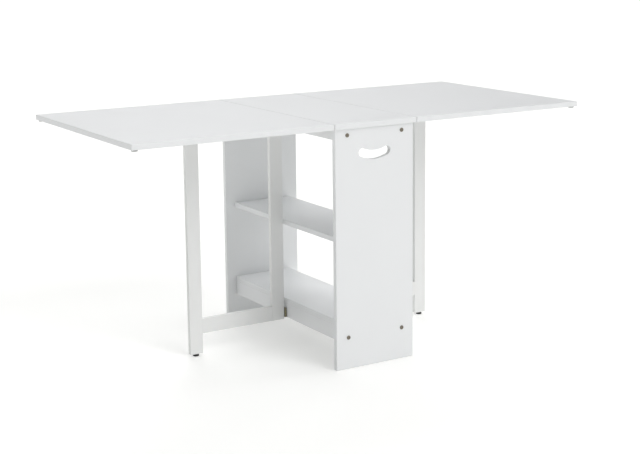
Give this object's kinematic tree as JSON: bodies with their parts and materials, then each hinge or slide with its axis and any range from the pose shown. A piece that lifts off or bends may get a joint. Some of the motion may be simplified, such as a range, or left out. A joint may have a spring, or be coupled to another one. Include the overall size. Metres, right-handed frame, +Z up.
{
  "type": "gateleg table",
  "caption": "White gateleg table: a narrow shelved box with a fixed centre top, two hinged leaves and two swinging gates that hold the leaves up.",
  "frame": {"origin": "on the floor, under the middle of the open top", "axes": "+X along the length of the open top, +Y from the front end panel to the rear one, +Z up"},
  "size_m": [1.57, 0.74, 0.75],
  "materials": {
    "white_board": "white satin foil over particle board",
    "white_painted_bar": "white satin paint over wood",
    "beech_dowel": "bare fluted beech",
    "bronze_bolt": "dark bronze plating, satin",
    "zinc_steel": "bright zinc plating",
    "diecast_zinc": "die-cast zinc, matt",
    "aged_brass": "aged brass, satin",
    "black_plastic": "hard black plastic, matt",
    "white_nylon": "white nylon",
    "grey_rubber": "soft light grey rubber"
  },
  "bodies": {
    "frame": {"apron_bottom_left": "white_board", "apron_bottom_right": "white_board", "apron_dowels_front": "beech_dowel", "apron_dowels_rear": "beech_dowel", "apron_top_left": "white_board", "apron_top_right": "white_board", "barrel_nuts_front": "zinc_steel", "barrel_nuts_rear": "zinc_steel", "cam_bolts": "zinc_steel", "cam_locks": "diecast_zinc", "connector_bolts_front": "bronze_bolt", "connector_bolts_rear": "bronze_bolt", "end_panel_front": "white_board", "end_panel_rear": "white_board", "gate_hinge_fixed_halves_left": "aged_brass", "gate_hinge_fixed_halves_right": "aged_brass", "gate_hinge_fixed_screws_left": "aged_brass", "gate_hinge_fixed_screws_right": "aged_brass", "gate_hinge_pins_left": "aged_brass", "gate_hinge_pins_right": "aged_brass", "shelf_bottom": "white_board", "shelf_bottom_dowels": "beech_dowel", "shelf_middle": "white_board", "top_bracket_screws": "zinc_steel", "top_brackets": "zinc_steel", "top_centre": "white_board", "top_hinge_halves_left": "aged_brass", "top_hinge_halves_right": "aged_brass", "top_hinge_pins_left": "aged_brass", "top_hinge_pins_right": "aged_brass", "top_hinge_screws_left": "aged_brass", "top_hinge_screws_right": "aged_brass"},
    "gate_left": {"gate_left_dowels": "beech_dowel", "gate_left_foot": "black_plastic", "gate_left_hinge_halves": "aged_brass", "gate_left_hinge_screws": "aged_brass", "gate_left_inner_post": "white_painted_bar", "gate_left_leaf_pad": "white_nylon", "gate_left_outer_leg": "white_painted_bar", "gate_left_rail_bottom": "white_painted_bar", "gate_left_rail_top": "white_painted_bar"},
    "gate_right": {"gate_right_dowels": "beech_dowel", "gate_right_foot": "black_plastic", "gate_right_hinge_halves": "aged_brass", "gate_right_hinge_screws": "aged_brass", "gate_right_inner_post": "white_painted_bar", "gate_right_leaf_pad": "white_nylon", "gate_right_outer_leg": "white_painted_bar", "gate_right_rail_bottom": "white_painted_bar", "gate_right_rail_top": "white_painted_bar"},
    "leaf_left": {"leaf_bumpers_left": "grey_rubber", "leaf_hinge_halves_left": "aged_brass", "leaf_hinge_screws_left": "aged_brass", "leaf_left": "white_board"},
    "leaf_right": {"leaf_bumpers_right": "grey_rubber", "leaf_hinge_halves_right": "aged_brass", "leaf_hinge_screws_right": "aged_brass", "leaf_right": "white_board"}
  },
  "joints": [
    {"name": "gate_left_swing", "type": "hinge", "parent": "frame", "child": "gate_left", "pos_m": [-0.108, 0.0013, 0.4], "axis": [0, 0, 1], "range_deg": [0, 90]},
    {"name": "gate_right_swing", "type": "hinge", "parent": "frame", "child": "gate_right", "pos_m": [0.108, 0.0013, 0.4], "axis": [0, 0, -1], "range_deg": [0, 90]},
    {"name": "leaf_left_lift", "type": "hinge", "parent": "frame", "child": "leaf_left", "pos_m": [-0.146, 0, 0.731], "axis": [0, 1, 0], "range_deg": [0, 5]},
    {"name": "leaf_right_lift", "type": "hinge", "parent": "frame", "child": "leaf_right", "pos_m": [0.146, 0, 0.731], "axis": [0, -1, 0], "range_deg": [0, 5]}
  ]
}
